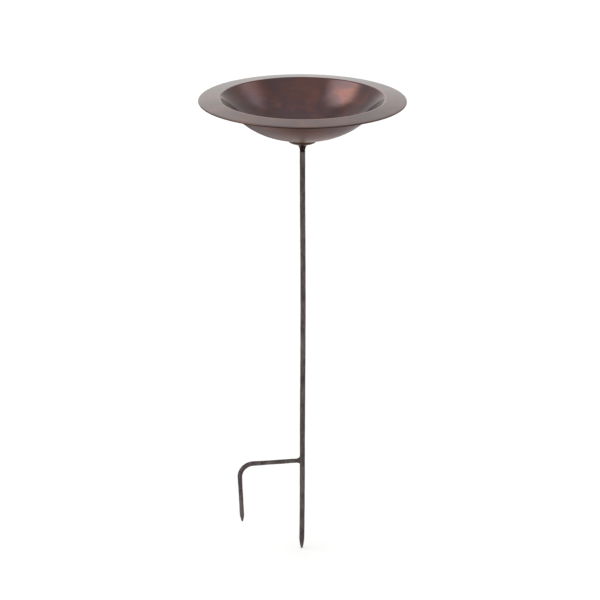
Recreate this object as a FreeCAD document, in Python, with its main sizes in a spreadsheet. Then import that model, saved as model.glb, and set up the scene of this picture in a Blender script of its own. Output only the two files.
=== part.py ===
"""Shallow wide-rimmed dish on a two-pronged garden stake, as a parametric document.

Millimetres, +Z up. The origin is the point of the long spike, on the pole's axis. The short side
prong lies in the XZ plane on the -X side. The dish unscrews from the pole on a short round stud.
"""

import FreeCAD, Part
import math
import os
import Sketcher

V = FreeCAD.Vector

# Driving dimensions, in millimetres and degrees. Heights are above the spike's point.
DIMENSIONS = {
    # spun sheet dish
    "rim_outer_radius": 177.8,
    "rim_crest_height": 863.3,
    "rim_edge_height": 858.4,
    "rim_edge_bead_radius": 1.25,
    "fold_inside_radius": 3.2,
    "sheet_thickness": 1.0,
    "floor_radius": 24.0,
    "floor_under_height": 795.3,
    "well_curve_radius": 127.0,
    "well_wall_angle": 48.0,
    # turned foot under the dish, and the solder that holds it there
    "foot_top_height": 792.9,
    "foot_edge_radius": 26.0,
    "foot_edge_round": 1.2,
    "foot_edge_land": 0.8,
    "foot_dome_radius": 7.2,
    "neck_radius": 4.7,
    "neck_chamfer": 0.4,
    "foot_bore_depth": 14.0,
    "solder_radius": 23.8,
    "solder_waist": 0.9,
    # threaded stud between the foot and the pole
    "stud_radius": 3.175,
    "stud_clearance": 0.05,
    "stud_chamfer": 0.6,
    "stud_engagement": 14.0,
    # long spike
    "pole_radius": 4.7625,
    "pole_top_height": 767.95,
    "pole_top_chamfer": 0.3,
    "pole_bore_depth": 17.0,
    "pole_shoulder_height": 20.0,
    "pole_facet_height": 8.0,
    "pole_facet_radius": 3.45,
    "pole_nose_radius": 1.5,
    # side prong, bent square from one rod and set at a small tilt
    "prong_radius": 3.96875,
    "prong_height": 180.2,
    "prong_reach": 115.8,
    "prong_drop": 115.8,
    "prong_bend_radius": 26.0,
    "prong_tilt": 2.2,
    "prong_point_length": 12.0,
    "prong_nose_radius": 1.4,
    # weld beads at the joint of the prong and the pole
    "weld_root_radius": 8.0,
    "weld_toe_radius": 4.6,
    "weld_length": 6.5,
}

WHOLE_TURN = 360.0
HALF_TURN = 180.0
RIGHT_ANGLE = 90.0
X_AXIS = V(1, 0, 0)
# Turning about this axis carries +Z towards -X, the side that the prong is on.
PRONG_WARD = V(0, -1, 0)

doc = FreeCAD.newDocument("dish_on_stake")


def make_sheet():
    """The spreadsheet of driving dimensions, one aliased row each."""
    sheet = doc.addObject("Spreadsheet::Sheet", "Dims")
    for row, (alias, value) in enumerate(DIMENSIONS.items(), start=1):
        sheet.set(f"A{row}", alias)
        sheet.set(f"B{row}", str(value))
        sheet.setAlias(f"B{row}", alias)
    doc.recompute()
    return sheet


dims = make_sheet()


def on_sheet(formula):
    """A formula with every alias in it written as a cell of the sheet."""
    words = formula.replace("(", " ( ").replace(")", " ) ").split()
    return " ".join(f"Dims.{word}" if word in DIMENSIONS else word for word in words)


def size(formula):
    """What a formula of driving dimensions comes to, for the first guess of a sketch."""
    return float(dims.evalExpression(on_sheet(formula)))


def new_body(label):
    body = doc.addObject("PartDesign::Body", label)
    body.Label = label
    return body


class Outline:
    """A closed half section in a body's XZ plane, held by geometric constraints and sheet sizes."""

    START, END, CENTRE = 1, 2, 3
    ORIGIN = (-1, 1)
    VERTICAL_AXIS = -2

    def __init__(self, body, name):
        self.sketch = body.newObject("Sketcher::SketchObject", name)
        planes = body.Origin.OriginFeatures
        plane = next(p for p in planes if p.Role == "XZ_Plane")
        self.sketch.AttachmentSupport = [(plane, "")]
        self.sketch.MapMode = "FlatFace"

    def line(self, start, end):
        return self.sketch.addGeometry(Part.LineSegment(V(*start, 0), V(*end, 0)), False)

    def arc(self, centre, radius, start_angle, end_angle):
        """Anticlockwise from start_angle to end_angle, in degrees."""
        circle = Part.Circle(V(*centre, 0), V(0, 0, 1), radius)
        span = (math.radians(start_angle), math.radians(end_angle))
        return self.sketch.addGeometry(Part.ArcOfCircle(circle, *span), False)

    def hold(self, *rule):
        return self.sketch.addConstraint(Sketcher.Constraint(*rule))

    def join(self, first, first_end, second, second_end):
        self.hold("Coincident", first, first_end, second, second_end)

    def blend(self, first, first_end, second, second_end):
        """Join two ends with a shared tangent."""
        self.hold("Tangent", first, first_end, second, second_end)

    def measure(self, formula, *rule):
        """A dimension that follows a formula on the sheet."""
        value = size(formula)
        if rule[0] == "Angle":
            value = math.radians(value)
        number = self.hold(*rule, value)
        self.sketch.setExpression(f"Constraints[{number}]", on_sheet(formula))

    def across(self, formula, piece, point):
        """Distance of a point from the axis of revolution."""
        self.measure(formula, "DistanceX", *self.ORIGIN, piece, point)

    def above(self, formula, piece, point):
        """Height of a point above the document's origin."""
        self.measure(formula, "DistanceY", *self.ORIGIN, piece, point)

    def corners(self, points):
        """A closed polygon through (radius formula, height formula) pairs, each point measured."""
        places = [(size(radius), size(height)) for radius, height in points]
        lines = [self.line(a, b) for a, b in zip(places, places[1:] + places[:1])]
        for line, (radius, height) in zip(lines, points):
            if radius == "0":
                self.hold("PointOnObject", line, self.START, self.VERTICAL_AXIS)
            else:
                self.across(radius, line, self.START)
            self.above(height, line, self.START)
        for line, following in zip(lines, lines[1:] + lines[:1]):
            self.join(line, self.END, following, self.START)

    def revolve(self, body, name):
        """Turn the outline once round the vertical axis into a solid."""
        doc.recompute()
        if not self.sketch.FullyConstrained:
            raise RuntimeError(f"{self.sketch.Name} isn't fully constrained")
        revolution = body.newObject("PartDesign::Revolution", name)
        revolution.Profile = self.sketch
        revolution.ReferenceAxis = (self.sketch, ["V_Axis"])
        revolution.Angle = WHOLE_TURN
        doc.recompute()


def make_bowl():
    """Spun sheet: flat floor, round well, straight wall, rim that falls outwards to a beaded edge."""
    body = new_body("bowl")
    out = Outline(body, "bowl_section")
    start, end, centre = out.START, out.END, out.CENTRE

    sheet = size("sheet_thickness")
    floor = size("floor_under_height")
    floor_edge = size("floor_radius")
    curve = size("well_curve_radius")
    wall = size("well_wall_angle")
    fold = size("fold_inside_radius")
    bead = size("rim_edge_bead_radius")
    wall_way = V(math.cos(math.radians(wall)), math.sin(math.radians(wall)), 0)
    wall_in = V(-wall_way.y, wall_way.x, 0)

    # The wall leaves the well's curve along its tangent and runs until the fold's crest height.
    curve_centre = V(floor_edge, floor + curve, 0)
    wall_foot = curve_centre - wall_in * curve
    fold_height = size("rim_crest_height") - fold - sheet
    run = (fold_height + wall_in.y * fold - wall_foot.y) / wall_way.y
    fold_centre = wall_foot + wall_way * run - wall_in * fold
    bead_centre = V(size("rim_outer_radius") - bead, size("rim_edge_height"), 0)
    lean = math.degrees(math.atan2(bead_centre.y - fold_centre.y, bead_centre.x - fold_centre.x))
    rim_up = RIGHT_ANGLE + lean
    rim_normal = V(math.cos(math.radians(rim_up)), math.sin(math.radians(rim_up)), 0)
    bead_meets_sheet = HALF_TURN + lean - math.degrees(math.asin((bead - sheet) / bead))

    def on(middle, reach):
        return (middle + reach)[:2]

    fold_span = (rim_up, RIGHT_ANGLE + wall)
    curve_span = (-RIGHT_ANGLE, wall - RIGHT_ANGLE)
    floor_under = out.line((0, floor), (floor_edge, floor))
    curve_under = out.arc(curve_centre[:2], curve, *curve_span)
    wall_under = out.line(wall_foot[:2], on(fold_centre, wall_in * fold))
    fold_under = out.arc(fold_centre[:2], fold, *fold_span)
    sheet_end = bead_centre + rim_normal * (bead - sheet) - X_AXIS * bead
    rim_under = out.line(on(fold_centre, rim_normal * fold), sheet_end[:2])
    bead_round = out.arc(bead_centre[:2], bead, bead_meets_sheet, WHOLE_TURN + rim_up)
    outer_fold = rim_normal * (fold + sheet)
    rim_top = out.line(on(bead_centre, rim_normal * bead), on(fold_centre, outer_fold))
    fold_top = out.arc(fold_centre[:2], fold + sheet, *fold_span)
    inner_foot = curve_centre - wall_in * (curve - sheet)
    wall_top = out.line(on(fold_centre, wall_in * (fold + sheet)), inner_foot[:2])
    curve_top = out.arc(curve_centre[:2], curve - sheet, *curve_span)
    floor_top = out.line((floor_edge, floor + sheet), (0, floor + sheet))
    axis = out.line((0, floor + sheet), (0, floor))

    out.blend(floor_under, end, curve_under, start)
    out.blend(curve_under, end, wall_under, start)
    out.blend(wall_under, end, fold_under, end)
    out.blend(fold_under, start, rim_under, start)
    out.join(rim_under, end, bead_round, start)
    out.blend(bead_round, end, rim_top, start)
    out.blend(rim_top, end, fold_top, start)
    out.blend(fold_top, end, wall_top, start)
    out.blend(wall_top, end, curve_top, end)
    out.blend(curve_top, start, floor_top, start)
    out.join(floor_top, end, axis, start)
    out.join(axis, end, floor_under, start)
    out.join(curve_under, centre, curve_top, centre)
    out.join(fold_under, centre, fold_top, centre)
    out.hold("PointOnObject", floor_under, start, out.VERTICAL_AXIS)
    out.hold("Vertical", axis)
    out.hold("Horizontal", floor_under)
    out.hold("Horizontal", floor_top)
    out.hold("Parallel", rim_under, rim_top)

    out.above("floor_under_height", floor_under, start)
    out.across("floor_radius", curve_under, centre)
    out.measure("well_curve_radius", "Radius", curve_under)
    out.measure("well_curve_radius - sheet_thickness", "Radius", curve_top)
    out.measure("well_wall_angle", "Angle", wall_under)
    out.measure("fold_inside_radius", "Radius", fold_under)
    out.measure("fold_inside_radius + sheet_thickness", "Radius", fold_top)
    out.above("rim_crest_height - fold_inside_radius - sheet_thickness", fold_under, centre)
    out.measure("rim_edge_bead_radius", "Radius", bead_round)
    out.across("rim_outer_radius - rim_edge_bead_radius", bead_round, centre)
    out.above("rim_edge_height", bead_round, centre)
    out.revolve(body, "bowl_spin")
    return body


def make_foot():
    """Turned flange and neck in one piece: a domed saucer that flares down to the pole's width."""
    body = new_body("bowl_foot")
    out = Outline(body, "foot_section")
    start, end, centre = out.START, out.END, out.CENTRE

    top = size("foot_top_height")
    edge = size("foot_edge_radius")
    rounding = size("foot_edge_round")
    dome = size("foot_dome_radius")
    neck = size("neck_radius")
    bevel = size("neck_chamfer")
    bottom = size("pole_top_height")
    bore = size("stud_radius + stud_clearance")
    bore_end = size("pole_top_height + foot_bore_depth")
    land_top = top - rounding
    land_foot = land_top - size("foot_edge_land")
    flare = edge - dome - neck
    waist = land_foot - dome

    top_face = out.line((0, top), (edge - rounding, top))
    edge_round = out.arc((edge - rounding, land_top), rounding, 0, RIGHT_ANGLE)
    land = out.line((edge, land_top), (edge, land_foot))
    dome_arc = out.arc((edge - dome, land_foot), dome, -RIGHT_ANGLE, 0)
    flare_arc = out.arc((edge - dome, waist - flare), flare, RIGHT_ANGLE, HALF_TURN)
    neck_side = out.line((neck, waist - flare), (neck, bottom + bevel))
    neck_bevel = out.line((neck, bottom + bevel), (neck - bevel, bottom))
    seat = out.line((neck - bevel, bottom), (bore, bottom))
    bore_wall = out.line((bore, bottom), (bore, bore_end))
    bore_floor = out.line((bore, bore_end), (0, bore_end))
    axis = out.line((0, bore_end), (0, top))

    out.blend(top_face, end, edge_round, end)
    out.blend(edge_round, start, land, start)
    out.blend(land, end, dome_arc, end)
    out.blend(dome_arc, start, flare_arc, start)
    out.blend(flare_arc, end, neck_side, start)
    out.join(neck_side, end, neck_bevel, start)
    out.join(neck_bevel, end, seat, start)
    out.join(seat, end, bore_wall, start)
    out.join(bore_wall, end, bore_floor, start)
    out.join(bore_floor, end, axis, start)
    out.join(axis, end, top_face, start)
    out.hold("PointOnObject", top_face, start, out.VERTICAL_AXIS)
    for upright in (axis, land, neck_side, bore_wall):
        out.hold("Vertical", upright)
    for level in (top_face, seat, bore_floor):
        out.hold("Horizontal", level)

    out.above("foot_top_height", top_face, start)
    out.measure("foot_edge_round", "Radius", edge_round)
    out.across("foot_edge_radius", land, start)
    out.measure("foot_edge_land", "DistanceY", land, end, land, start)
    out.measure("foot_dome_radius", "Radius", dome_arc)
    out.across("foot_edge_radius - foot_dome_radius", flare_arc, centre)
    out.across("neck_radius", neck_side, start)
    out.above("pole_top_height", seat, start)
    out.across("neck_radius - neck_chamfer", seat, start)
    out.above("pole_top_height + neck_chamfer", neck_bevel, start)
    out.across("stud_radius + stud_clearance", bore_wall, start)
    out.above("pole_top_height + foot_bore_depth", bore_floor, start)
    out.revolve(body, "foot_turning")
    return body


def make_solder():
    """Disc of solder between the dish's floor and the foot, hollowed round its edge."""
    body = new_body("solder_joint")
    out = Outline(body, "solder_section")
    start, end = out.START, out.END

    low = size("foot_top_height")
    high = size("floor_under_height")
    radius = size("solder_radius")
    waist = size("solder_waist")
    half = (high - low) / 2
    hollow = (half**2 + waist**2) / (2 * waist)
    spread = math.degrees(math.asin(half / hollow))
    hollow_centre = (radius - waist + hollow, low + half)

    under = out.line((0, low), (radius, low))
    edge = out.arc(hollow_centre, hollow, HALF_TURN - spread, HALF_TURN + spread)
    over = out.line((radius, high), (0, high))
    axis = out.line((0, high), (0, low))

    out.join(under, end, edge, end)
    out.join(edge, start, over, start)
    out.join(over, end, axis, start)
    out.join(axis, end, under, start)
    out.hold("PointOnObject", under, start, out.VERTICAL_AXIS)
    out.hold("Vertical", axis)
    out.hold("Horizontal", under)
    out.hold("Horizontal", over)
    out.above("foot_top_height", under, start)
    out.above("floor_under_height", over, end)
    out.across("solder_radius", under, end)
    out.across("solder_radius", over, start)
    hollow_half = "( floor_under_height - foot_top_height ) / 2"
    radius_formula = f"( {hollow_half} * {hollow_half} + solder_waist * solder_waist )"
    out.measure(f"{radius_formula} / ( 2 * solder_waist )", "Radius", edge)
    out.revolve(body, "solder_fill")
    return body


def make_stud():
    """Round stud with bevelled ends; its thread is shown smooth at the thread's full width."""
    body = new_body("threaded_stud")
    out = Outline(body, "stud_section")
    low = "pole_top_height - stud_engagement"
    high = "pole_top_height + foot_bore_depth"
    out.corners(
        [
            ("0", low),
            ("stud_radius - stud_chamfer", low),
            ("stud_radius", f"{low} + stud_chamfer"),
            ("stud_radius", f"{high} - stud_chamfer"),
            ("stud_radius - stud_chamfer", high),
            ("0", high),
        ]
    )
    out.revolve(body, "stud_turning")
    return body


def make_pole():
    """Straight rod with a forged point below and a blind hole for the stud in its top end."""
    body = new_body("pole")
    out = Outline(body, "pole_section")
    bore = "stud_radius + stud_clearance"
    bore_foot = "pole_top_height - pole_bore_depth"
    out.corners(
        [
            ("0", "0"),
            ("pole_nose_radius", "0"),
            ("pole_facet_radius", "pole_facet_height"),
            ("pole_radius", "pole_shoulder_height"),
            ("pole_radius", "pole_top_height - pole_top_chamfer"),
            ("pole_radius - pole_top_chamfer", "pole_top_height"),
            (bore, "pole_top_height"),
            (bore, bore_foot),
            ("0", f"{bore_foot} - stud_radius / 2"),
        ]
    )
    out.revolve(body, "pole_turning")
    return body


def primitive(kind, name, place, turn_axis=X_AXIS, turn="0", **sizes):
    """A primitive turned by one formula about an axis, then moved by a formula per coordinate."""
    solid = doc.addObject(kind, name)
    solid.Placement = FreeCAD.Placement(V(0, 0, 0), FreeCAD.Rotation(turn_axis, RIGHT_ANGLE))
    solid.setExpression("Placement.Rotation.Angle", on_sheet(turn))
    for coordinate, formula in place.items():
        solid.setExpression(f"Placement.Base.{coordinate}", on_sheet(formula))
    for side, formula in sizes.items():
        solid.setExpression(side, on_sheet(formula))
    return solid


def combination(kind, name, base, tool):
    """A boolean of two solids."""
    result = doc.addObject(kind, name)
    result.Base = base
    result.Tool = tool
    return result


def make_bent_rod():
    """The prong before its end is fitted to the pole: bar, square bend, leg and point."""
    to_point = "prong_drop - prong_point_length"
    bar = primitive(
        "Part::Cylinder",
        "prong_bar",
        {},
        turn_axis=PRONG_WARD,
        turn="90",
        Radius="prong_radius",
        Height="prong_reach - prong_bend_radius",
    )
    ring = primitive(
        "Part::Torus",
        "prong_bend_ring",
        {"x": "prong_bend_radius - prong_reach", "z": "0 - prong_bend_radius"},
        turn="90",
        Radius1="prong_bend_radius",
        Radius2="prong_radius",
    )
    quarter = primitive(
        "Part::Box",
        "prong_bend_quarter",
        {
            "x": "0 - prong_reach - prong_bend_radius",
            "y": "0 - prong_bend_radius",
            "z": "0 - prong_bend_radius",
        },
        Length="2 * prong_bend_radius",
        Width="2 * prong_bend_radius",
        Height="2 * prong_bend_radius",
    )
    bend = combination("Part::Common", "prong_bend", ring, quarter)
    leg = primitive(
        "Part::Cylinder",
        "prong_leg",
        {"x": "0 - prong_reach", "z": "0 - prong_bend_radius"},
        turn="180",
        Radius="prong_radius",
        Height=f"{to_point} - prong_bend_radius",
    )
    point = primitive(
        "Part::Cone",
        "prong_point",
        {"x": "0 - prong_reach", "z": f"0 - ( {to_point} )"},
        turn="180",
        Radius1="prong_radius",
        Radius2="prong_nose_radius",
        Height="prong_point_length",
    )
    rod = doc.addObject("Part::MultiFuse", "prong_rod")
    rod.Shapes = [bar, bend, leg, point]
    rod.Placement = FreeCAD.Placement(V(0, 0, 0), FreeCAD.Rotation(PRONG_WARD, RIGHT_ANGLE))
    rod.setExpression("Placement.Base.z", on_sheet("prong_height"))
    rod.setExpression("Placement.Rotation.Angle", on_sheet("prong_tilt"))
    return rod


def pole_tool(name):
    """A plain cylinder as thick as the pole, to hollow what is fitted against it."""
    return primitive("Part::Cylinder", name, {}, Radius="pole_radius", Height="pole_top_height")


def make_prong(rod):
    """The bent rod with its end hollowed to sit on the round pole."""
    prong = combination("Part::Cut", "side_prong", rod, pole_tool("prong_cope"))
    prong.Label = "side_prong"
    return prong


def make_weld(label, rod, foot):
    """Half a collar of weld metal round the bar's end, in the half that starts at height foot."""
    collar = primitive(
        "Part::Cone",
        f"{label}_collar",
        {"z": "prong_height"},
        turn_axis=PRONG_WARD,
        turn="90 + prong_tilt",
        Radius1="weld_root_radius",
        Radius2="weld_toe_radius",
        Height="pole_radius + weld_length",
    )
    half = primitive(
        "Part::Box",
        f"{label}_half",
        {"x": "0 - 3 * weld_root_radius", "y": "0 - weld_root_radius", "z": foot},
        Length="3 * weld_root_radius",
        Width="2 * weld_root_radius",
        Height="weld_root_radius",
    )
    lump = combination("Part::Common", f"{label}_lump", collar, half)
    against_pole = combination("Part::Cut", f"{label}_fitted", lump, pole_tool(f"{label}_cope"))
    weld = combination("Part::Cut", label, against_pole, rod)
    weld.Label = label
    return weld


def check_document():
    """Stop on any object that failed to recompute."""
    doc.recompute()
    failed = [thing.Name for thing in doc.Objects if {"Invalid", "Error"} & set(thing.State)]
    if failed:
        raise RuntimeError(f"objects with errors: {failed}")


def write_parts(parts):
    """One STEP file for each piece, named by its label."""
    for part in parts:
        if part.Shape.isNull() or not part.Shape.isValid():
            raise RuntimeError(f"{part.Label} has no valid shape")
    os.makedirs("parts", exist_ok=True)
    for part in parts:
        part.Shape.exportStep(f"parts/{part.Label}.step")
        solids = len(part.Shape.Solids)
        print(f"{part.Label}: {solids} solid, {part.Shape.Volume / 1000:.3f} cm3")


bent_rod = make_bent_rod()
pieces = [
    make_bowl(),
    make_foot(),
    make_solder(),
    make_stud(),
    make_pole(),
    make_prong(bent_rod),
    make_weld("weld_bead_upper", bent_rod, "prong_height"),
    make_weld("weld_bead_lower", bent_rod, "prong_height - weld_root_radius"),
]
check_document()
write_parts(pieces)
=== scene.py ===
"""Burnished copper dish on a two-pronged garden stake: the looks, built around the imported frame.

Everything is in metres, +Z up, with the long spike's point at the origin and the side prong on -X.
Round pieces are turned from a half outline, and the rest are skins over a spine. What is uneven on
the real object (spun sheet, hammered rod, weld metal) is uneven in the meshes too.
"""

import math

import bpy
from mathutils import Matrix, Vector, noise


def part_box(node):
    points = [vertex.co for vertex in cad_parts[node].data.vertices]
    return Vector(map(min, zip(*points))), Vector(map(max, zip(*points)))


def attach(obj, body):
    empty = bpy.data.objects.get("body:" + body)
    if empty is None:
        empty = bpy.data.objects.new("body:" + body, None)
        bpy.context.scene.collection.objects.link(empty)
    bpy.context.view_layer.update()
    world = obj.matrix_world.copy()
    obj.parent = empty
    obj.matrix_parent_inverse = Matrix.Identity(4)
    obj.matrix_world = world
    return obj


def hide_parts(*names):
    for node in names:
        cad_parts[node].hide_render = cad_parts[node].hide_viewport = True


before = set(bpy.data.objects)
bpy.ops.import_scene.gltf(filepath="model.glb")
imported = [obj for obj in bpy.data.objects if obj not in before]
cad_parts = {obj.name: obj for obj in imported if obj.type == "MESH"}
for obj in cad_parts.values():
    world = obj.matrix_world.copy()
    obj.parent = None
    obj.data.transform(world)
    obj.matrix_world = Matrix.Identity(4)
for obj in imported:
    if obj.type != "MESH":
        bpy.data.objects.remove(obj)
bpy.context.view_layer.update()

MM = 0.001
TURN = 2 * math.pi

# Places read from the frame.
BOWL_LOW, BOWL_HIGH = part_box("bowl")
FOOT_LOW, FOOT_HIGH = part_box("bowl_foot")
STUD_LOW, STUD_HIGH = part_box("threaded_stud")
POLE_LOW, POLE_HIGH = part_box("pole")
PRONG_LOW, PRONG_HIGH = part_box("side_prong")
SOLDER_LOW, SOLDER_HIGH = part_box("solder_joint")

# Spun dish.
SHEET = 1.0 * MM
FLOOR_RADIUS = 24.0 * MM
WELL_CURVE = 127.0 * MM
WALL_ANGLE = math.radians(48.0)
WALL_WAY = Vector((math.cos(WALL_ANGLE), math.sin(WALL_ANGLE)))
WALL_IN = Vector((-WALL_WAY.y, WALL_WAY.x))
CURVE_CENTRE = Vector((FLOOR_RADIUS, BOWL_LOW.z + WELL_CURVE))
FOLD_RADIUS = 3.2 * MM
BEAD_RADIUS = 1.25 * MM
BEAD_HEIGHT = BOWL_HIGH.z - 4.9 * MM

# What is uneven in the dish: waves from spinning, the edge's droop, and a lean in radians, lower on
# +X, from a foot that was soldered a little out of square.
SPIN_WAVES = 0.10 * MM
RIM_DROOP = 0.15 * MM
RIM_DROOP_WIDTH = 6.0 * MM
DISH_LEAN = 0.0040

# Turned foot.
FOOT_EDGE_ROUND = 1.2 * MM
FOOT_EDGE_LAND = 0.8 * MM
FOOT_DOME = 7.2 * MM
NECK_RADIUS = 4.7 * MM
NECK_BEVEL = 0.4 * MM
NECK_FILING = 0.22 * MM
NECK_FILING_REACH = 6.0 * MM

# Solder seam: how far its edge curves in, and how unevenly it was squeezed out.
SOLDER_WAIST = 0.9 * MM
SOLDER_LUMPS = 0.8 * MM

# Thread of the stud and its two holes.
THREAD_PITCH = 1.27 * MM
THREAD_DEPTH = 0.69 * MM
BORE_RADIUS = STUD_HIGH.x + 0.05 * MM
BORE_DEPTH = 17.0 * MM
STUD_BEVEL = 0.6 * MM

# Rods. The bow and the kink are the pole's drift from its axis, half way up and at its point.
POLE_RADIUS = POLE_HIGH.x
POLE_SHOULDER = 20.0 * MM
POLE_FACET = 8.0 * MM
POLE_FACET_RADIUS = 3.45 * MM
POLE_NOSE = 1.5 * MM
POLE_BOW = 1.1 * MM
POLE_KINK = -1.2 * MM
PRONG_RADIUS = PRONG_HIGH.y
PRONG_START = 180.2 * MM
PRONG_REACH = 115.8 * MM
PRONG_DROP = 115.8 * MM
PRONG_BEND = 26.0 * MM
PRONG_TILT = math.radians(2.2)
PRONG_POINT = 12.0 * MM
PRONG_NOSE = 1.4 * MM

# Hammering and the bend's swelling, as shares of a rod's radius. The prong was hammered harder.
HAMMER_DENTS = 0.035
HAMMER_SLOW = 0.012
PRONG_HAMMERING = 1.5
BEND_SWELL = 0.12
BEND_SWELL_REACH = 46.0 * MM

# Weld round the prong's end.
WELD_ROOT = 8.0 * MM
WELD_LENGTH = 6.5 * MM
WELD_FULLNESS = 0.25


# Stage: floor, and camera aimed beside the pole's axis.
FLOOR_REACH = 30.0
FLOOR_GLOW = 0.42
CAMERA_DISTANCE = 3.357
CAMERA_PITCH = math.radians(20.836)
CAMERA_AZIMUTH = math.radians(-4.3)
CAMERA_BESIDE_AXIS = 4.3 * MM
CAMERA_AIM_HEIGHT = 494.04 * MM
CAMERA_LENS = 113.69
CAMERA_SENSOR = 36.0

# Light: the room's own colour, then soft-edged panels over it, each over the ones before. Each has a
# name, the azimuth of its middle and its half width, its lowest and highest elevation, how wide its
# fading edge is (all in degrees), and its colour. Azimuth 0 is +Y, and 90 is +X.
ROOM_COLOUR = (0.54, 0.54, 0.54)
ROOM_PANELS = (
    ("walls", 0, 181, -6, 34, 24, (0.62, 0.62, 0.61)),
    ("table", 0, 181, -90, -36, 12, (1.16, 1.15, 1.11)),
    ("table_under_dish", 0, 181, -90, -70, 14, (0.62, 0.62, 0.62)),
    ("gap_below", 0, 181, -36, -6, 10, (0.12, 0.12, 0.12)),
    ("table_behind", 21, 18, -38, -12, 10, (1.40, 1.38, 1.33)),
    ("back_wall", -7, 21, -6, 30, 24, (1.00, 1.00, 0.98)),
    ("back_wall_foot", -4, 30, -6, 10, 10, (0.84, 0.84, 0.83)),
    ("back_left", -46, 14, 26, 44, 12, (0.74, 0.74, 0.74)),
    ("ceiling", 0, 181, 60, 91, 14, (0.68, 0.67, 0.68)),
    ("left_box", -88, 24, 36, 62, 20, (2.50, 2.45, 2.30)),
    ("right_box", 78, 16, 34, 50, 20, (1.30, 1.35, 1.45)),
    ("left_box_foot", -94, 22, -4, 30, 14, (0.98, 0.97, 0.94)),
    ("right_box_foot", 80, 20, -4, 30, 14, (0.66, 0.66, 0.66)),
    ("camera_side", 170, 44, -6, 36, 30, (0.46, 0.46, 0.46)),
)


# ---------------------------------------------------------------- mesh helpers


def arc(centre, radius, start, end, steps):
    """Points on an arc in the (radius, height) plane, ends included."""
    angles = [start + (end - start) * i / steps for i in range(steps + 1)]
    return [(centre[0] + radius * math.cos(a), centre[1] + radius * math.sin(a)) for a in angles]


def run(start, end, step):
    """Points along a straight stretch, ends included, no further apart than step."""
    count = max(1, math.ceil(math.dist(start, end) / step))
    return [
        (start[0] + (end[0] - start[0]) * i / count, start[1] + (end[1] - start[1]) * i / count)
        for i in range(count + 1)
    ]


def chain(*stretches):
    """Stretches joined into one outline, without the points that two of them share."""
    outline = []
    for stretch in stretches:
        fresh = [p for p in stretch if not outline or math.dist(p, outline[-1]) > 1e-7]
        outline += fresh
    return outline


def make_piece(name, vertices, faces, body, nodes, material):
    """A smooth mesh piece that rides on a body, stands for CAD nodes and wears a material."""
    mesh = bpy.data.meshes.new(name)
    mesh.from_pydata(vertices, [], faces)
    mesh.validate()
    mesh.shade_smooth()
    mesh.materials.append(material)
    piece = bpy.data.objects.new(name, mesh)
    bpy.context.scene.collection.objects.link(piece)
    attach(piece, body)
    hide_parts(*nodes)
    return piece


def turned(outline, segments, shift=None):
    """A closed skin from an outline whose two ends are on the axis.

    shift(radius, height, angle) gives how far a point moves outwards and upwards.
    """
    rings = outline[1:-1]
    vertices = [Vector((0, 0, outline[0][1])), Vector((0, 0, outline[-1][1]))]
    for radius, height in rings:
        for k in range(segments):
            angle = TURN * k / segments
            out, up = shift(radius, height, angle) if shift else (0, 0)
            reach = radius + out
            vertices.append(Vector((reach * math.cos(angle), reach * math.sin(angle), height + up)))
    first, last = 2, 2 + (len(rings) - 1) * segments
    faces = []
    for k in range(segments):
        following = (k + 1) % segments
        faces.append((0, first + following, first + k))
        faces.append((1, last + k, last + following))
        for ring in range(len(rings) - 1):
            low, high = 2 + ring * segments, 2 + (ring + 1) * segments
            faces.append((low + k, low + following, high + following, high + k))
    return vertices, faces


def skinned(rings):
    """A closed skin over rings of points, each end closed by a fan round its middle."""
    count = len(rings[0])
    vertices = [point for ring in rings for point in ring]
    faces = []
    for i in range(len(rings) - 1):
        low, high = i * count, (i + 1) * count
        for k in range(count):
            following = (k + 1) % count
            faces.append((low + k, low + following, high + following, high + k))
    for ring_at, flip in ((0, True), ((len(rings) - 1) * count, False)):
        middle = sum((vertices[ring_at + k] for k in range(count)), Vector()) / count
        vertices.append(middle)
        for k in range(count):
            a, b = ring_at + k, ring_at + (k + 1) % count
            faces.append((b, a, len(vertices) - 1) if flip else (a, b, len(vertices) - 1))
    return vertices, faces


def wander(seed, *place):
    """Smooth noise from -1 to 1 at a place, different for each seed."""
    return noise.noise(Vector(place).to_3d() + Vector((seed * 17.31, seed * 5.77, seed * 11.9)))


# ---------------------------------------------------------------- material helpers


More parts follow.
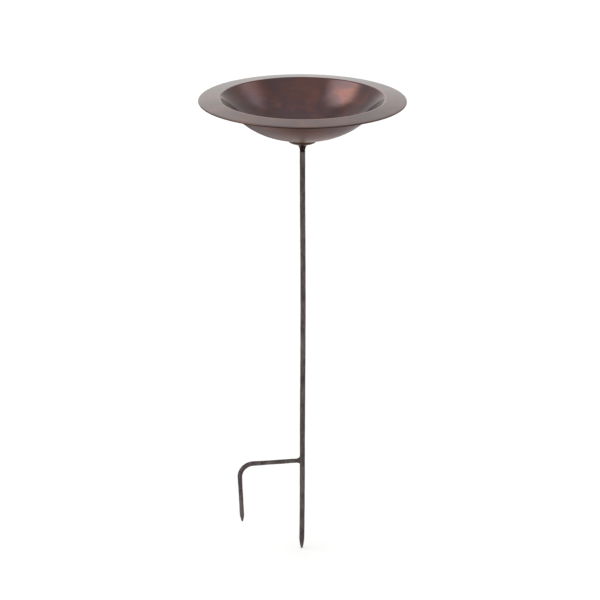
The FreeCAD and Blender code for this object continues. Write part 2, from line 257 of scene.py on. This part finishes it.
class Nodes:
    """Short calls for building a Principled material."""

    def __init__(self, owner):
        if isinstance(owner, str):
            owner = bpy.data.materials.new(owner)
            owner.use_nodes = True
        self.material = owner
        self.tree = owner.node_tree
        self.shader = self.tree.nodes.get("Principled BSDF")
        self.object_place = self.new("ShaderNodeTexCoord").outputs["Object"]

    def new(self, kind, **settings):
        node = self.tree.nodes.new(kind)
        for key, value in settings.items():
            setattr(node, key, value)
        return node

    def join(self, source, target):
        """Link a socket, or set a plain value."""
        if isinstance(source, bpy.types.NodeSocket):
            self.tree.links.new(source, target)
        else:
            target.default_value = source

    def maths(self, operation, *values):
        node = self.new("ShaderNodeMath", operation=operation)
        for value, socket in zip(values, node.inputs):
            self.join(value, socket)
        return node.outputs[0]

    def ramp(self, value, low, high, to_low=0.0, to_high=1.0):
        """value from low..high to to_low..to_high, smoothly and clamped."""
        node = self.new("ShaderNodeMapRange", interpolation_type="SMOOTHSTEP")
        for socket, number in zip(node.inputs, (value, low, high, to_low, to_high)):
            self.join(number, socket)
        return node.outputs[0]

    def noise(self, scale, detail=4.0, rough=0.5, place=None, stretch=None):
        place = place or self.object_place
        if stretch:
            mapping = self.new("ShaderNodeMapping")
            mapping.inputs["Scale"].default_value = stretch
            self.join(place, mapping.inputs["Vector"])
            place = mapping.outputs["Vector"]
        node = self.new("ShaderNodeTexNoise")
        node.inputs["Scale"].default_value = scale
        node.inputs["Detail"].default_value = detail
        node.inputs["Roughness"].default_value = rough
        self.join(place, node.inputs["Vector"])
        return node.outputs["Fac"]

    def mix(self, share, first, second, blend="MIX"):
        node = self.new("ShaderNodeMix", data_type="RGBA", blend_type=blend)
        self.join(share, node.inputs["Factor"])
        for colour, socket in ((first, node.inputs["A"]), (second, node.inputs["B"])):
            self.join((*colour, 1.0) if isinstance(colour, tuple) else colour, socket)
        return node.outputs["Result"]

    def polar(self):
        """(radius from the vertical axis, height, unit direction) of the place on the piece."""
        parts = self.new("ShaderNodeSeparateXYZ")
        self.join(self.object_place, parts.inputs[0])
        x, y, z = parts.outputs
        radius = self.maths(
            "SQRT", self.maths("ADD", self.maths("MULTIPLY", x, x), self.maths("MULTIPLY", y, y))
        )
        safe = self.maths("MAXIMUM", radius, 1e-5)
        return radius, z, self.maths("DIVIDE", x, safe), self.maths("DIVIDE", y, safe)

    def ringed(self, along, across):
        """A place in which noise is drawn out into streaks round the vertical axis."""
        radius, height, east, north = self.polar()
        spread = self.new("ShaderNodeCombineXYZ")
        self.join(self.maths("MULTIPLY", east, along), spread.inputs[0])
        self.join(self.maths("MULTIPLY", north, along), spread.inputs[1])
        run_out = self.maths("ADD", radius, height)
        self.join(self.maths("MULTIPLY", run_out, across), spread.inputs[2])
        return spread.outputs[0]

    def bump(self, height, distance, strength=1.0, over=None):
        node = self.new("ShaderNodeBump")
        node.inputs["Strength"].default_value = strength
        node.inputs["Distance"].default_value = distance
        self.join(height, node.inputs["Height"])
        if over:
            self.join(over, node.inputs["Normal"])
        return node.outputs["Normal"]

    def wear(self, **sockets):
        """Link or set the shader's sockets; spaces are written as underscores."""
        for name, value in sockets.items():
            self.join(value, self.shader.inputs[name.replace("_", " ")])
        return self.material


def copper_material():
    """Dark burnished copper plate under clear lacquer, rubbed bright on its fold and its edge, with a
    painted shade, near black, on the bead's downward face.
    """
    n = Nodes("burnished_copper")
    radius, height, _, _ = n.polar()
    crest = fold_place().x
    facing = n.new("ShaderNodeSeparateXYZ")
    n.join(n.new("ShaderNodeNewGeometry").outputs["Normal"], facing.inputs[0])
    topside = n.ramp(facing.outputs["Z"], -0.15, 0.15)
    clouds = n.noise(14.0, 4.0, 0.5)
    blotches = n.noise(27.0, 4.0, 0.55)
    streaks = n.noise(1.0, 5.0, 0.6, place=n.ringed(3.0, 260.0))
    brown = n.mix(n.ramp(clouds, 0.42, 0.58), (0.145, 0.074, 0.066), (0.112, 0.068, 0.075))
    brown = n.mix(n.ramp(blotches, 0.50, 0.68, 0.0, 0.8), brown, (0.190, 0.086, 0.074))
    brown = n.mix(n.ramp(streaks, 0.35, 0.7, 0.0, 0.3), brown, (0.085, 0.048, 0.045))
    fold = n.ramp(n.maths("ABSOLUTE", n.maths("SUBTRACT", radius, crest)), 0.0, 1.8 * MM, 1.0, 0.0)
    above_rim = n.ramp(height, BOWL_HIGH.z - 2.5 * MM, BOWL_HIGH.z - 0.6 * MM)
    edge = n.ramp(radius, BOWL_HIGH.x - 1.1 * MM, BOWL_HIGH.x - 0.5 * MM)
    patchy = n.ramp(n.noise(40.0, 3.0, 0.6), 0.36, 0.62, 0.1, 0.8)
    rubbed = n.maths("MULTIPLY", n.maths("MULTIPLY", fold, above_rim), patchy)
    colour = n.mix(rubbed, brown, (0.45, 0.20, 0.12))
    colour = n.mix(edge, colour, (0.18, 0.090, 0.070))
    # Painted shade: the bead and the outer edge of the rim are painted near black where they face
    # downwards. This stands for the shadow in the gap under the rim's edge.
    facing_down = n.ramp(facing.outputs["Z"], 0.05, 0.35, 1.0, 0.0)
    on_bead = n.ramp(radius, BOWL_HIGH.x - 3.2 * MM, BOWL_HIGH.x - 2.4 * MM)
    colour = n.mix(n.maths("MULTIPLY", facing_down, on_bead), colour, (0.016, 0.009, 0.008))
    fine = n.noise(1.0, 3.0, 0.5, place=n.ringed(6.0, 900.0))
    peel = n.noise(420.0, 2.0, 0.5)
    normal = n.bump(fine, 0.012 * MM, 0.5)
    normal = n.bump(peel, 0.010 * MM, 0.4, over=normal)
    polish = n.ramp(clouds, 0.3, 0.7, 0.11, 0.17)
    return n.wear(
        Base_Color=colour,
        Metallic=1.0,
        Roughness=n.maths("ADD", polish, n.ramp(topside, 0.0, 1.0, 0.30, 0.0)),
        Normal=normal,
        Coat_Weight=n.ramp(topside, 0.0, 1.0, 0.05, 0.35),
        Coat_Roughness=0.03,
        Coat_IOR=1.5,
    )


def neck_material():
    """The same copper left nearly black by the solder's heat round the neck, glossy and speckled."""
    n = Nodes("heated_copper")
    radius, _, _, _ = n.polar()
    out_on_flange = n.ramp(radius, 10.0 * MM, 18.0 * MM)
    specks = n.noise(520.0, 3.0, 0.6)
    dark = n.mix(n.ramp(specks, 0.50, 0.68), (0.009, 0.003, 0.002), (0.075, 0.036, 0.024))
    colour = n.mix(out_on_flange, dark, (0.075, 0.038, 0.029))
    return n.wear(
        Base_Color=colour,
        Metallic=out_on_flange,
        Specular_IOR_Level=0.05,
        Roughness=n.ramp(out_on_flange, 0.0, 1.0, 0.22, 0.26),
        Normal=n.bump(specks, 0.06 * MM, 0.8),
    )


def paint_material():
    """Satin dark bronze powder coat on hammered rod."""
    n = Nodes("bronze_paint")
    clouds = n.noise(110.0, 5.0, 0.65, stretch=(1.0, 1.0, 0.35))
    specks = n.noise(900.0, 3.0, 0.6)
    colour = n.mix(n.ramp(clouds, 0.35, 0.65), (0.070, 0.055, 0.054), (0.148, 0.126, 0.122))
    colour = n.mix(n.ramp(specks, 0.60, 0.75, 0.0, 0.5), colour, (0.16, 0.13, 0.12))
    hammer = n.bump(n.noise(150.0, 2.0, 0.5, stretch=(1.0, 1.0, 0.5)), 0.6 * MM, 0.8)
    normal = n.bump(specks, 0.03 * MM, 0.6, over=hammer)
    return n.wear(
        Base_Color=colour,
        Metallic=0.0,
        Specular_IOR_Level=0.12,
        Roughness=n.ramp(clouds, 0.3, 0.7, 0.48, 0.60),
        Normal=normal,
    )


def steel_material():
    """Bright plated thread with oil-darkened patches."""
    n = Nodes("plated_steel")
    clouds = n.noise(300.0, 4.0, 0.6)
    colour = n.mix(n.ramp(clouds, 0.35, 0.7), (0.52, 0.50, 0.46), (0.30, 0.28, 0.25))
    return n.wear(
        Base_Color=colour,
        Metallic=1.0,
        Roughness=n.ramp(clouds, 0.3, 0.7, 0.24, 0.42),
        Normal=n.bump(n.noise(1500.0, 2.0), 0.02 * MM, 0.5),
    )


def solder_material():
    """Dull solder darkened by the patina bath."""
    n = Nodes("dark_solder")
    clouds = n.noise(220.0, 4.0, 0.6)
    colour = n.mix(n.ramp(clouds, 0.35, 0.7), (0.010, 0.006, 0.005), (0.035, 0.022, 0.018))
    return n.wear(
        Base_Color=colour,
        Metallic=1.0,
        Roughness=n.ramp(clouds, 0.3, 0.7, 0.35, 0.6),
        Normal=n.bump(clouds, 0.15 * MM, 0.7),
    )


# ---------------------------------------------------------------- dish


def fold_place():
    """Middle of the fold's circle, which the wall's straight run touches."""
    wall_foot = CURVE_CENTRE - WALL_IN * WELL_CURVE
    fold_height = BOWL_HIGH.z - FOLD_RADIUS - SHEET
    climb = (fold_height + WALL_IN.y * FOLD_RADIUS - wall_foot.y) / WALL_WAY.y
    return wall_foot + WALL_WAY * climb - WALL_IN * FOLD_RADIUS


def bowl_outline():
    """Half section of the sheet: under the floor, out to the bead and back over the top."""
    floor = BOWL_LOW.z
    wall_foot = CURVE_CENTRE - WALL_IN * WELL_CURVE
    fold_centre = fold_place()
    bead_centre = Vector((BOWL_HIGH.x - BEAD_RADIUS, BEAD_HEIGHT))
    gap = bead_centre - fold_centre
    # The rim's upper line touches the fold and the bead, which have different radii.
    lean = math.atan2(gap.y, gap.x) + math.asin((BEAD_RADIUS - FOLD_RADIUS - SHEET) / gap.length)
    rim_up = math.pi / 2 + lean
    rim_normal = Vector((math.cos(rim_up), math.sin(rim_up)))
    sink = math.asin((BEAD_RADIUS - SHEET) / BEAD_RADIUS)
    bead_start = math.pi + lean - sink
    outer_fold = FOLD_RADIUS + SHEET
    wall_step, rim_step = 1.5 * MM, 2.0 * MM
    curve_turn = (-math.pi / 2, WALL_ANGLE - math.pi / 2)
    fold_turn = (rim_up, math.pi / 2 + WALL_ANGLE)
    under_bead = bead_centre + BEAD_RADIUS * Vector((math.cos(bead_start), math.sin(bead_start)))
    return chain(
        run((0, floor), (FLOOR_RADIUS, floor), rim_step),
        arc(CURVE_CENTRE, WELL_CURVE, *curve_turn, 70),
        run(wall_foot, fold_centre + WALL_IN * FOLD_RADIUS, wall_step),
        arc(fold_centre, FOLD_RADIUS, *reversed(fold_turn), 8),
        run(fold_centre + rim_normal * FOLD_RADIUS, under_bead, rim_step),
        arc(bead_centre, BEAD_RADIUS, bead_start, TURN + rim_up, 24),
        run(bead_centre + rim_normal * BEAD_RADIUS, fold_centre + rim_normal * outer_fold, rim_step),
        arc(fold_centre, outer_fold, *fold_turn, 10),
        run(fold_centre + WALL_IN * outer_fold, wall_foot + WALL_IN * SHEET, wall_step),
        arc(CURVE_CENTRE, WELL_CURVE - SHEET, *reversed(curve_turn), 70),
        run((FLOOR_RADIUS, floor + SHEET), (0, floor + SHEET), rim_step),
    )


def sheet_waves(radius, height, angle):
    """Slow waves left in spun sheet, the rim's droop and the lean, the same on both skins."""
    fade = min(1.0, radius / (60 * MM))
    near_edge = max(0.0, 1 - (BOWL_HIGH.x - radius) / RIM_DROOP_WIDTH)
    east, north = math.cos(angle), math.sin(angle)
    slow = wander(1, 1.7 * east, 1.7 * north, radius / (45 * MM))
    quick = wander(2, 4.0 * east, 4.0 * north, radius / (28 * MM))
    waves = SPIN_WAVES * fade * (slow + 0.4 * quick)
    return 0.0, waves - RIM_DROOP * near_edge**2 - DISH_LEAN * radius * east


def make_bowl(material):
    vertices, faces = turned(bowl_outline(), 288, sheet_waves)
    return make_piece("bowl_sheet", vertices, faces, "dish", ["bowl"], material)


def make_foot(material):
    """Flange, flare and neck, with the bore for the stud."""
    top, bottom, edge = FOOT_HIGH.z, FOOT_LOW.z, FOOT_HIGH.x
    land_top = top - FOOT_EDGE_ROUND
    land_foot = land_top - FOOT_EDGE_LAND
    dome_centre = (edge - FOOT_DOME, land_foot)
    flare = edge - FOOT_DOME - NECK_RADIUS
    flare_centre = (edge - FOOT_DOME, land_foot - FOOT_DOME - flare)
    quarter = math.pi / 2
    outline = chain(
        [(0, STUD_HIGH.z), (BORE_RADIUS, STUD_HIGH.z)],
        run((BORE_RADIUS, STUD_HIGH.z), (BORE_RADIUS, bottom), 1.0 * MM),
        [(BORE_RADIUS, bottom), (NECK_RADIUS - NECK_BEVEL, bottom)],
        arc((NECK_RADIUS - NECK_BEVEL, bottom + NECK_BEVEL), NECK_BEVEL, -quarter, 0, 5),
        run((NECK_RADIUS, bottom + NECK_BEVEL), (NECK_RADIUS, flare_centre[1]), 0.5 * MM),
        arc(flare_centre, flare, 2 * quarter, quarter, 28),
        arc(dome_centre, FOOT_DOME, -quarter, 0, 18),
        run((edge, land_foot), (edge, land_top), 0.4 * MM),
        arc((edge - FOOT_EDGE_ROUND, land_top), FOOT_EDGE_ROUND, 0, quarter, 8),
        run((edge - FOOT_EDGE_ROUND, top), (0, top), 3.0 * MM),
    )

    def filed(radius, height, angle):
        """The neck was filed by hand where it was soldered, so it isn't quite round."""
        in_reach = radius > BORE_RADIUS
        near_neck = max(0.0, 1 - (radius - NECK_RADIUS) / NECK_FILING_REACH) if in_reach else 0.0
        lumps = wander(3, 1.4 * math.cos(angle), 1.4 * math.sin(angle), height / (2.2 * MM))
        return NECK_FILING * near_neck * lumps, 0.0

    vertices, faces = turned(outline, 128, filed)
    return make_piece("bowl_foot_turning", vertices, faces, "dish", ["bowl_foot"], material)


def make_solder(material):
    """Seam of solder, squeezed out unevenly between the floor and the foot."""
    low, high, edge = SOLDER_LOW.z, SOLDER_HIGH.z, SOLDER_HIGH.x
    middle = (low + high) / 2
    half = (high - low) / 2
    outline = [(0, low), (edge * 0.5, low)]
    for share in (-1, -0.7, -0.35, 0, 0.35, 0.7, 1):
        outline.append((edge - SOLDER_WAIST * math.cos(math.pi / 2 * share), middle + half * share))
    outline += [(edge * 0.5, high), (0, high)]

    def squeezed(radius, height, angle):
        if radius < edge * 0.8:
            return 0.0, 0.0
        lumps = wander(4, 5.0 * math.cos(angle), 5.0 * math.sin(angle), height / (1.5 * MM))
        return SOLDER_LUMPS * lumps, 0.0

    vertices, faces = turned(outline, 160, squeezed)
    return make_piece("solder_seam", vertices, faces, "dish", ["solder_joint"], material)


# ---------------------------------------------------------------- stud


def make_stud(material):
    """Stud with a rolled 60 degree thread from end to end, bevelled at both ends."""
    around, per_pitch = 48, 12
    length = STUD_HIGH.z - STUD_LOW.z
    rows = math.ceil(length / THREAD_PITCH * per_pitch)
    rings = []
    for row in range(rows + 1):
        height = STUD_LOW.z + length * row / rows
        from_end = min(height - STUD_LOW.z, STUD_HIGH.z - height)
        widest = STUD_HIGH.x - max(0.0, STUD_BEVEL - from_end)
        ring = []
        for k in range(around):
            angle = TURN * k / around
            phase = (height / THREAD_PITCH - k / around) % 1.0
            groove = min(1.0, max(0.0, (abs(phase - 0.5) * 2 - 0.12) / 0.72))
            radius = min(widest, STUD_HIGH.x - THREAD_DEPTH * groove)
            ring.append(Vector((radius * math.cos(angle), radius * math.sin(angle), height)))
        rings.append(ring)
    vertices, faces = skinned(rings)
    return make_piece("stud_thread", vertices, faces, "stud", ["threaded_stud"], material)


# ---------------------------------------------------------------- stake


def squared(angle, amount):
    """How far a section reaches at an angle as it goes from round (0) to a rounded square (1)."""
    power = 2 + 3 * amount
    reach = (abs(math.cos(angle)) ** power + abs(math.sin(angle)) ** power) ** (-1 / power)
    return 1 + (reach - 1) * min(1.0, amount * 1.5)


def hammered(seed, angle, along):
    """Shallow dents that hammering leaves round a rod, as a share of its radius."""
    dents = wander(seed, 0.9 * math.cos(angle), 0.9 * math.sin(angle), along / (16 * MM))
    slow = wander(seed + 1, 0.5 * math.cos(angle), 0.5 * math.sin(angle), along / (70 * MM))
    return 1 + HAMMER_DENTS * dents + HAMMER_SLOW * slow


def pole_radius(height):
    """Radius of the pole at a height: blunt nose, short facet, long shoulder, then plain rod."""
    if height < POLE_FACET:
        return POLE_NOSE + (POLE_FACET_RADIUS - POLE_NOSE) * height / POLE_FACET
    share = min(1.0, (height - POLE_FACET) / (POLE_SHOULDER - POLE_FACET))
    return POLE_FACET_RADIUS + (POLE_RADIUS - POLE_FACET_RADIUS) * share


def pole_bow(height):
    """Sideways drift of the rod: none at its top or the prong, and the forged end leans a little."""
    if height < PRONG_START:
        return POLE_KINK * (1 - height / PRONG_START) ** 2
    share = (height - PRONG_START) / (POLE_HIGH.z - PRONG_START)
    return POLE_BOW * math.sin(math.pi * share) ** 2


def make_pole(material):
    """Hand-straightened rod with a forged point, and the bore for the stud in its top."""
    around = 40
    top = POLE_HIGH.z
    bevel = 0.3 * MM
    heights = [0.0, 0.3 * MM]
    while heights[-1] < top - bevel:
        heights.append(min(top - bevel, heights[-1] + (1.5 * MM if heights[-1] < 30 * MM else 3.0 * MM)))
    sections = [(height, pole_radius(height)) for height in heights]
    sections[0] = (0.0, POLE_NOSE * 0.7)
    sections += [(top, POLE_RADIUS - bevel), (top, BORE_RADIUS), (top - BORE_DEPTH, BORE_RADIUS)]
    rings = []
    for height, radius in sections:
        forged = max(0.0, 1 - height / (POLE_SHOULDER * 1.3))
        plain = min(1.0, (top - height) / (20 * MM))
        ring = []
        for k in range(around):
            angle = TURN * k / around
            uneven = 1 + (hammered(5, angle, height) * squared(angle, forged) - 1) * plain
            reach = radius * (1 if radius <= BORE_RADIUS and height > POLE_SHOULDER else uneven)
            ring.append(
                Vector((reach * math.cos(angle) + pole_bow(height), reach * math.sin(angle), height))
            )
        rings.append(ring)
    vertices, faces = skinned(rings)
    return make_piece("pole_rod", vertices, faces, "stake", ["pole"], material)


def prong_spine():
    """(place along the rod, point, direction) down the prong's centre line, tilted into place."""
    tilt = Matrix.Rotation(-PRONG_TILT, 4, "Y")
    lift = Vector((0, 0, PRONG_START))
    straight = PRONG_REACH - PRONG_BEND
    stations, along = [], 0.0
    start = POLE_RADIUS * 0.5
    step = 2.5 * MM
    count = math.ceil((straight - start) / step)
    for i in range(count + 1):
        out = start + (straight - start) * i / count
        stations.append((out - start, Vector((-out, 0, 0)), Vector((-1, 0, 0))))
    turns = 18
    for i in range(1, turns + 1):
        angle = math.pi / 2 * i / turns
        point = Vector(
            (-straight - PRONG_BEND * math.sin(angle), 0, -PRONG_BEND * (1 - math.cos(angle)))
        )
        along = straight - start + PRONG_BEND * angle
        stations.append((along, point, Vector((-math.cos(angle), 0, -math.sin(angle)))))
    leg = PRONG_DROP - PRONG_BEND
    leg_start = along
    count = math.ceil(leg / step)
    for i in range(1, count + 1):
        down = leg * i / count
        stations.append(
            (leg_start + down, Vector((-PRONG_REACH, 0, -PRONG_BEND - down)), Vector((0, 0, -1)))
        )
    return [(s, tilt @ p + lift, (tilt @ d).normalized()) for s, p, d in stations]


def make_prong(material):
    """Bent rod with a forged point, left a little thicker where it was hammered round the bend."""
    around = 32
    spine = prong_spine()
    length = spine[-1][0]
    bend_middle = length - (PRONG_DROP - PRONG_BEND) - PRONG_BEND * math.pi / 4
    rings = []
    for along, centre, way in spine:
        to_end = length - along
        forged = max(0.0, 1 - to_end / (PRONG_POINT * 1.3))
        radius = PRONG_NOSE + (PRONG_RADIUS - PRONG_NOSE) * min(1.0, to_end / PRONG_POINT)
        from_bend = min(1.0, abs(along - bend_middle) / BEND_SWELL_REACH)
        radius *= 1 + BEND_SWELL * (1 - from_bend**2) ** 2
        side = Vector((0, 1, 0))
        up = side.cross(way)
        ring = []
        for k in range(around):
            angle = TURN * k / around
            dented = 1 + (hammered(9, angle, along) - 1) * PRONG_HAMMERING
            reach = radius * dented * squared(angle, forged)
            ring.append(centre + reach * (math.cos(angle) * side + math.sin(angle) * up))
        rings.append(ring)
    vertices, faces = skinned(rings)
    return make_piece("side_prong_rod", vertices, faces, "stake", ["side_prong"], material)


def make_weld(name, node, middle_angle, material):
    """Half a fillet of weld metal, rippled as it was laid, with tapered ends."""
    tilt = Matrix.Rotation(-PRONG_TILT, 4, "Y")
    lift = Vector((0, 0, PRONG_START))
    half_span = math.radians(104)
    stations, across = 56, 12
    rings = []
    for i in range(stations + 1):
        share = 2 * i / stations - 1
        angle = middle_angle + half_span * share
        full = max(0.05, 1 - abs(share) ** 6)
        ripple = 1 + 0.07 * math.cos(share * 9 * math.pi) + 0.16 * wander(12, 3 * share, middle_angle)
        root = PRONG_RADIUS + (WELD_ROOT - PRONG_RADIUS) * full * ripple
        toe = WELD_LENGTH * (0.35 + 0.65 * full) * ripple
        ring = []
        for j in range(across + 1):
            turn = math.pi / 2 * j / across
            sink = math.sin(turn) + WELD_FULLNESS * (1 - math.cos(turn) - math.sin(turn))
            out = root - (root - PRONG_RADIUS * 0.96) * sink
            along = toe * (1 - math.cos(turn))
            hollow = Vector((0, out * math.cos(angle), out * math.sin(angle)))
            wall = math.sqrt(max(0.0, POLE_RADIUS**2 - hollow.y**2)) - 0.3 * MM
            ring.append(hollow + Vector((-wall - along, 0, 0)))
        inside = PRONG_RADIUS * 0.6
        for along in (toe, 0.0):
            hollow = Vector((0, inside * math.cos(angle), inside * math.sin(angle)))
            ring.append(hollow + Vector((-POLE_RADIUS * 0.6 - along * 0.8, 0, 0)))
        rings.append([tilt @ point + lift for point in ring])
    vertices, faces = skinned(rings)
    return make_piece(name, vertices, faces, "stake", [node], material)


# ---------------------------------------------------------------- studio


def make_floor():
    """Pale seamless floor, bright enough to read as the white ground of a catalogue picture."""
    reach = FLOOR_REACH
    corners = [(-reach, -reach, 0), (reach, -reach, 0), (reach, reach, 0), (-reach, reach, 0)]
    mesh = bpy.data.meshes.new("studio_floor")
    mesh.from_pydata(corners, [], [(0, 1, 2, 3)])
    n = Nodes("floor_white")
    n.wear(
        Base_Color=(0.85, 0.85, 0.85, 1.0),
        Roughness=0.9,
        Emission_Color=(1.0, 1.0, 1.0, 1.0),
        Emission_Strength=FLOOR_GLOW,
    )
    mesh.materials.append(n.material)
    floor = bpy.data.objects.new("studio_floor", mesh)
    bpy.context.scene.collection.objects.link(floor)
    floor.visible_glossy = False


def make_world():
    """A soft white room with paler and darker panels. The backdrop itself shows as plain white."""
    world = bpy.data.worlds.new("studio")
    bpy.context.scene.world = world
    world.use_nodes = True
    n = Nodes(world)
    parts = n.new("ShaderNodeSeparateXYZ")
    n.join(n.new("ShaderNodeTexCoord").outputs["Generated"], parts.inputs[0])
    east, north, up = parts.outputs
    climb = n.maths("ARCSINE", up)
    level = n.maths("MAXIMUM", n.maths("COSINE", climb), 1e-4)
    colour = ROOM_COLOUR
    for _, azimuth, half_width, low, high, fade, panel in ROOM_PANELS:
        turn, half, low, high, soft = (math.radians(v) for v in (azimuth, half_width, low, high, fade / 2))
        toward = n.maths(
            "ADD", n.maths("MULTIPLY", east, math.sin(turn)), n.maths("MULTIPLY", north, math.cos(turn))
        )
        away = n.maths("ARCCOSINE", n.maths("DIVIDE", toward, level))
        wide = n.ramp(away, half - soft, half + soft, 1.0, 0.0)
        above = n.ramp(climb, low - soft, low + soft)
        below = n.ramp(climb, high - soft, high + soft, 1.0, 0.0)
        colour = n.mix(n.maths("MULTIPLY", n.maths("MULTIPLY", above, below), wide), colour, panel)
    seen = n.new("ShaderNodeLightPath").outputs["Is Camera Ray"]
    n.join(n.mix(seen, colour, (1.0, 1.0, 1.0)), n.tree.nodes["Background"].inputs["Color"])


def make_camera():
    """Long lens from a little left of the front, looking down at the middle of the object."""
    pitch, azimuth = CAMERA_PITCH, CAMERA_AZIMUTH
    right = Vector((math.cos(azimuth), math.sin(azimuth), 0))
    back = Vector(
        (
            math.sin(azimuth) * math.cos(pitch),
            -math.cos(azimuth) * math.cos(pitch),
            math.sin(pitch),
        )
    )
    aim = Vector((0, 0, CAMERA_AIM_HEIGHT)) - right * CAMERA_BESIDE_AXIS
    data = bpy.data.cameras.new("camera")
    data.sensor_width = CAMERA_SENSOR
    data.lens = CAMERA_LENS
    camera = bpy.data.objects.new("camera", data)
    bpy.context.scene.collection.objects.link(camera)
    camera.location = aim + back * CAMERA_DISTANCE
    camera.rotation_euler = (-back).to_track_quat("-Z", "Y").to_euler()
    bpy.context.scene.camera = camera


make_camera()
make_floor()
make_world()
bpy.context.scene.view_settings.view_transform = "Standard"

copper = copper_material()
paint = paint_material()
make_bowl(copper)
make_foot(neck_material())
make_solder(solder_material())
make_stud(steel_material())
make_pole(paint)
make_prong(paint)
make_weld("weld_bead_top", "weld_bead_upper", math.pi / 2, paint)
make_weld("weld_bead_bottom", "weld_bead_lower", -math.pi / 2, paint)
